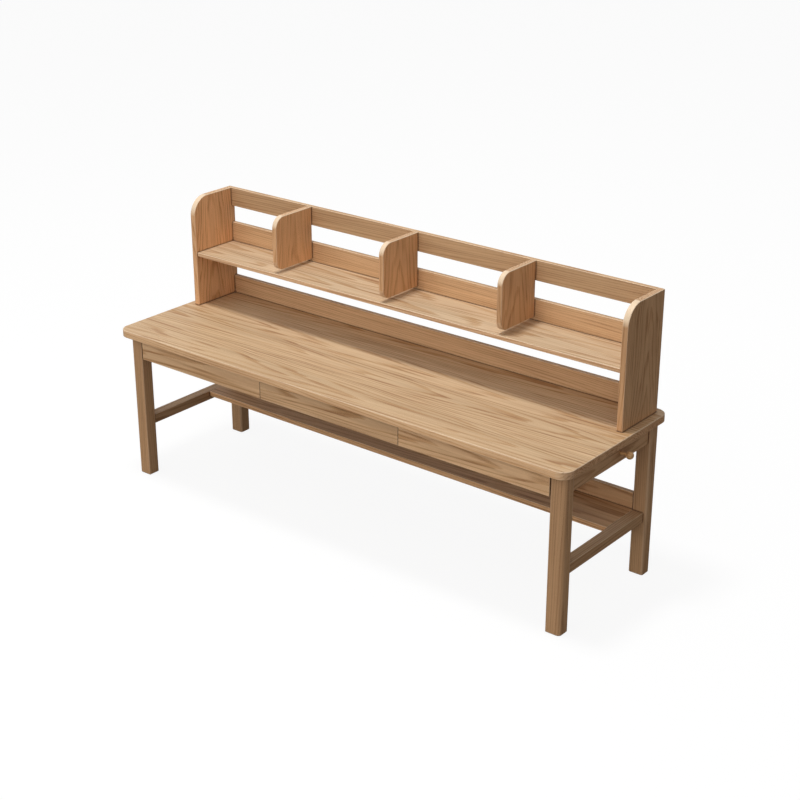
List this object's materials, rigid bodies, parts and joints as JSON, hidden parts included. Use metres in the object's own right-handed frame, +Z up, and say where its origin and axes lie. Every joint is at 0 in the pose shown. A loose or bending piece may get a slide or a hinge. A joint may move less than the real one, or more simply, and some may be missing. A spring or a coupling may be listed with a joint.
{
  "type": "desk with hutch",
  "caption": "Long oak desk with drawers under a rounded top, a low rear shelf, and an open book hutch with three dividers.",
  "frame": {"origin": "on the floor, under the middle of the desktop", "axes": "+Z up, +Y from the user's side to the back, +X along the desk to the user's right"},
  "size_m": [2.528, 0.77, 1.285],
  "materials": {
    "oak": "satin clear oil over straight and cathedral grain",
    "oak_top": "satin clear lacquer, lighter and more worn by use",
    "turned_oak": "turned and polished",
    "drawer_box_wood": "sanded, thinly lacquered",
    "beech_dowel": "plain fluted dowel",
    "zinc_steel": "zinc plated",
    "felt": "pressed felt"
  },
  "bodies": {
    "desk_frame": {"desktop": "oak_top", "leg_front_left": "oak", "leg_front_right": "oak", "leg_rear_left": "oak", "leg_rear_right": "oak", "side_apron_left": "oak", "side_apron_right": "oak", "rear_apron": "oak", "front_rail": "oak", "drawer_bearer_left": "oak", "drawer_bearer_mid_left": "oak", "drawer_bearer_mid_right": "oak", "drawer_bearer_right": "oak", "side_stretcher_left": "oak", "side_stretcher_right": "oak", "lower_shelf": "oak", "lower_back_board": "oak", "hook_peg_left": "turned_oak", "hook_peg_right": "turned_oak", "foot_glides": "felt", "desktop_brackets": "zinc_steel", "bracket_screws": "zinc_steel", "drawer_rails_fixed": "zinc_steel", "hutch_side_left": "oak", "hutch_side_right": "oak", "hutch_shelf": "oak_top", "hutch_top_rail": "oak", "hutch_middle_rail": "oak", "hutch_bottom_rail": "oak", "hutch_dowels": "beech_dowel", "hutch_screws": "zinc_steel", "divider_left": "oak", "divider_middle": "oak", "divider_right": "oak", "divider_screws": "zinc_steel"},
    "left_drawer": {"drawer_left_front": "oak", "drawer_left_side_left": "drawer_box_wood", "drawer_left_side_right": "drawer_box_wood", "drawer_left_back": "drawer_box_wood", "drawer_left_bottom": "drawer_box_wood", "drawer_left_rails": "zinc_steel"},
    "middle_drawer": {"drawer_middle_front": "oak", "drawer_middle_side_left": "drawer_box_wood", "drawer_middle_side_right": "drawer_box_wood", "drawer_middle_back": "drawer_box_wood", "drawer_middle_bottom": "drawer_box_wood", "drawer_middle_rails": "zinc_steel"},
    "right_drawer": {"drawer_right_front": "oak", "drawer_right_side_left": "drawer_box_wood", "drawer_right_side_right": "drawer_box_wood", "drawer_right_back": "drawer_box_wood", "drawer_right_bottom": "drawer_box_wood", "drawer_right_rails": "zinc_steel"}
  },
  "joints": [
    {"name": "left_drawer_slide", "type": "slide", "parent": "desk_frame", "child": "left_drawer", "axis": [0, -1, 0], "range_m": [0, 0.33]},
    {"name": "middle_drawer_slide", "type": "slide", "parent": "desk_frame", "child": "middle_drawer", "axis": [0, -1, 0], "range_m": [0, 0.33]},
    {"name": "right_drawer_slide", "type": "slide", "parent": "desk_frame", "child": "right_drawer", "axis": [0, -1, 0], "range_m": [0, 0.33]}
  ]
}
